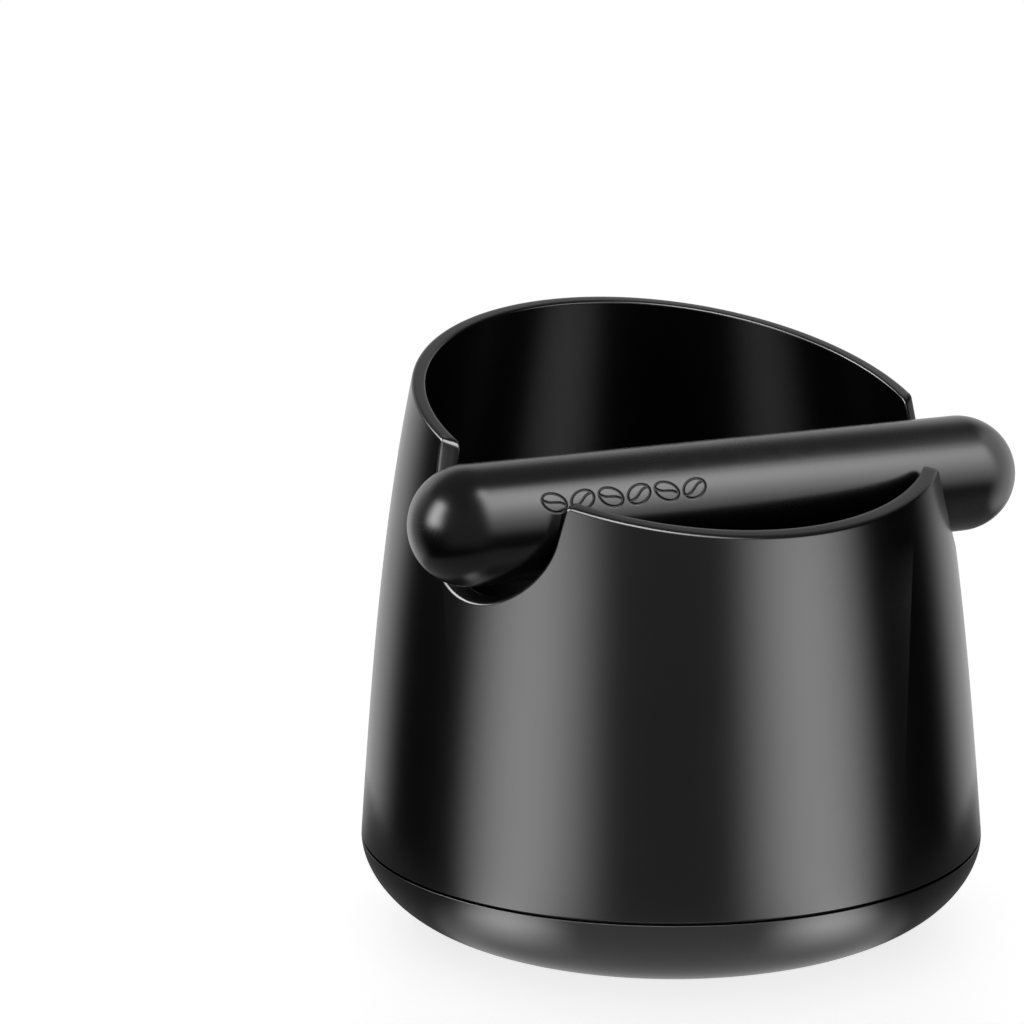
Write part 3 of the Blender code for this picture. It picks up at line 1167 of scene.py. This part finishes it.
# bearings count from the camera's own, positive to the right; all angles in degrees
softboxes = {
    "leftStrip": {"lit": "bin", "bearing": -52, "low": -50, "high": 22, "spread": 35, "level": 5.5},
    "rightStrip": {"lit": "bin", "bearing": 52, "low": -50, "high": 22, "spread": 35, "level": 5.5},
    "edgeBox": {
        "lit": "bin", "bearing": -12, "low": 26, "high": 70, "spread": 56, "level": 15.0,
        "pastBar": True,  # the bar throws no shadow in its light
    },
    "sideEdgeBox": {
        "lit": "bin", "bearing": -88, "low": 20, "high": 54, "spread": 40, "level": 18.0,
        "pastBar": True,
    },
    "leftInside": {
        "lit": "bin", "bearing": -75, "low": -33, "high": 32, "spread": 33, "level": 0.58,
        "away": 0.061,  # inside the bin
    },
    "rightInside": {
        "lit": "bin", "bearing": 80, "low": -33, "high": 32, "spread": 37, "level": 0.80,
        "away": 0.061,
    },
    "leftBarBox": {"lit": "bar", "bearing": -64, "low": 2, "high": 44, "spread": 24, "level": 11.5},
    "leftEndBox": {
        "lit": "bar", "bearing": -120, "low": -42, "high": 42, "spread": 38, "level": 0.8,
    },
    "rightBarBox": {
        "lit": "bar", "bearing": 61, "low": -10, "high": 74, "spread": 36, "level": 7.2,
        "soft": 0.58,
    },
    "endBarBox": {"lit": "bar", "bearing": 104, "low": -48, "high": 58, "spread": 44, "level": 1.7},
}


def smoothEdge(wire, width):
    # a share that rises from 0 at both ends of 0 to 1 to a level top
    near = (1.0 - (wire * 2.0 - 1.0).maths("ABSOLUTE")) / width
    return near.clamped().maths("SMOOTH_MIN", 1.0, 0.3).clamped()


def buildLights(lit):
    usual = {"away": 0.9, "soft": 0.35, "pastBar": False}
    fade = 2.6  # how fast a box dims to its sides
    aim = Vector((0, 0, cameraPlan["aimHeight"]))
    made = []
    for name, own in softboxes.items():
        plan = {**usual, **own}
        away = plan["away"]
        low, high = (away * math.tan(math.radians(plan[end])) for end in ("low", "high"))
        lamp = bpy.data.lights.new(name, "AREA")
        lamp.shape = "RECTANGLE"
        lamp.size = 2 * away * math.tan(math.radians(plan["spread"]))
        lamp.size_y = high - low
        lamp.energy = plan["level"] * math.pi * lamp.size * lamp.size_y
        lamp.use_nodes = True
        bench = Bench(lamp.node_tree)
        side, rise, depth = bench.split(bench.add("ShaderNodeNewGeometry", output="Parametric"))
        side = side * 2.0 - 1.0
        level = (1.0 - side * side).clamped() ** fade * smoothEdge(rise, plan["soft"])
        bench.plug(bench.tree.nodes["Emission"].inputs["Strength"], level)
        holder = bpy.data.objects.new(name, lamp)
        way = awayAt(cameraPlan["azimuth"] + math.radians(plan["bearing"]), 0)
        holder.location = aim + way * away + Vector((0, 0, (low + high) / 2))
        holder.rotation_mode = "QUATERNION"
        holder.rotation_quaternion = (-way).to_track_quat("-Z", "Y")
        holder.visible_camera = False
        holder.visible_diffuse = False
        holder.light_linking.receiver_collection = lit[plan["lit"]]
        if plan["pastBar"]:
            holder.light_linking.blocker_collection = lit["bin"]
        bpy.context.scene.collection.objects.link(holder)
        made.append(holder)
    return made


def discMesh(name, radius, height=0.0):
    mesh = bpy.data.meshes.new(name)
    work = bmesh.new()
    bmesh.ops.create_circle(
        work, cap_ends=True, radius=radius, segments=192, matrix=Matrix.Translation((0, 0, height))
    )
    work.to_mesh(mesh)
    work.free()
    return mesh


def buildFloor():
    # the floor itself is seen by the camera only
    material, bench, where = newFinish("paleFloor")
    slow = noiseAt(bench, where, 9.0, 4.0)
    tone = stagePlan["floorTone"]
    feed(
        bench, Base_Color=mixTone(bench, slow, (tone,) * 3, (tone * 0.97,) * 3),
        Roughness=(0.55 + (slow - 0.5) * 0.1).clamped(),
        Emission_Color=(1, 1, 1, 1), Emission_Strength=stagePlan["floorGlow"],
    )
    floor = pieceOf("floor", discMesh("floor", stagePlan["floorRadius"]), material)
    floor.visible_glossy = False
    floor.visible_diffuse = False
    floor.visible_shadow = False
    return floor


def turnedToCamera(bench, where):
    # X, Y and Z about the vertical, with the camera at -Y
    settings = {"Vector": where, "Angle": -cameraPlan["azimuth"]}
    turned = bench.add("ShaderNodeVectorRotate", {"rotation_type": "Z_AXIS"}, settings)
    return bench.split(turned)


def fading(bench, angle, degrees, first, last):
    low, high = (math.radians(value) for value in degrees)
    return between(bench, angle, low, high, first, last)


def buildPool(name, height, receivers, paint):
    # a glowing disc under the floor that only some pieces mirror
    material = bpy.data.materials.new(name)
    material.use_nodes = True
    material.node_tree.nodes.clear()
    bench = Bench(material.node_tree)
    bench.add("ShaderNodeOutputMaterial", None, {0: paint(bench)})
    pool = pieceOf(name, discMesh(name, stagePlan["poolRadius"], height), material)
    pool.visible_camera = False
    pool.visible_diffuse = False
    pool.light_linking.receiver_collection = receivers
    return pool


def paintBinPool(bench):
    # pale in front, with two bright bands, and dim at the sides
    plan = stagePlan
    x, y, z = turnedToCamera(bench, bench.add("ShaderNodeTexCoord", output="Object"))
    reach = (x * x + y * y).maths("SQRT")
    bearing = x.maths("ARCTAN2", y * -1.0)
    aside = bearing.maths("ABSOLUTE")
    level = fading(bench, aside, plan["poolFrontEnds"], plan["poolFront"], plan["poolSide"])
    level = level + fading(bench, aside, plan["poolBackStarts"], 0.0, plan["poolBack"])
    # painted contact shadow: the glow dims close to the box
    level = level * between(bench, reach, *plan["poolContactShadow"], 1.0)
    begun = between(bench, reach, *plan["bandStart"], 0.0, plan["poolBand"])
    fan = (reach - plan["fanFrom"]) * math.radians(plan["fanTurn"])
    for centre in plan["bandBearings"]:
        side = math.copysign(1.0, centre)
        off = (bearing - math.radians(centre) - fan * side) / math.radians(plan["bandSpread"])
        level = level + (1.0 - off * off).clamped() ** 2.0 * begun
    glow = bench.add("ShaderNodeEmission", None, {"Strength": level})
    clear = bench.add("ShaderNodeBsdfTransparent")
    return bench.add("ShaderNodeAddShader", None, {0: glow, 1: clear})


def paintBarPool(bench):
    return bench.add("ShaderNodeEmission", None, {"Strength": stagePlan["barPool"]})


def buildWorld():
    plan = stagePlan
    world = bpy.data.worlds.new("studio")
    world.use_nodes = True
    world.node_tree.nodes.clear()
    bench = Bench(world.node_tree)
    x, y, z = turnedToCamera(bench, bench.add("ShaderNodeTexCoord", output="Generated"))
    aside = x.maths("ARCTAN2", y * -1.0).maths("ABSOLUTE")
    rise = z.maths("ARCSINE")
    front = fading(bench, aside, plan["frontEnds"], plan["front"], 0.0)
    back = fading(bench, aside, plan["backStarts"], 0.0, plan["back"])
    band = fading(bench, rise, plan["risesFrom"], 0.0, 1.0)
    above = fading(bench, rise, plan["aboveStarts"], 0.0, 1.0)
    level = (front + back) * band * (1.0 - above) + above * plan["above"] + plan["sky"]
    path = bench.add("ShaderNodeLightPath", output="Is Camera Ray")
    light = bench.add(
        "ShaderNodeBackground", None,
        {"Color": (1, 1, 1, 1), "Strength": level.maths("MAXIMUM", path)},
    )
    bench.add("ShaderNodeOutputWorld", None, {0: light})
    bpy.context.scene.world = world


binPieces = (binShell, basePan, baseSeal, footRing)
barPieces = (barSleeve, *(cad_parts[node] for node, material, slotName in carried))
litPieces = {}
for name, pieces in (("bin", binPieces), ("bar", barPieces)):
    litPieces[name] = bpy.data.collections.new("lit" + name.title())
    for piece in pieces:
        litPieces[name].objects.link(piece)

buildCamera()
floor = buildFloor()
binPool = buildPool("binPool", stagePlan["binPoolHeight"], litPieces["bin"], paintBinPool)
barPool = buildPool("barPool", stagePlan["barPoolHeight"], litPieces["bar"], paintBarPool)
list(buildLights(litPieces))
buildWorld()
bpy.context.scene.view_settings.view_transform = "Standard"
print("camera, lights and floor ready")
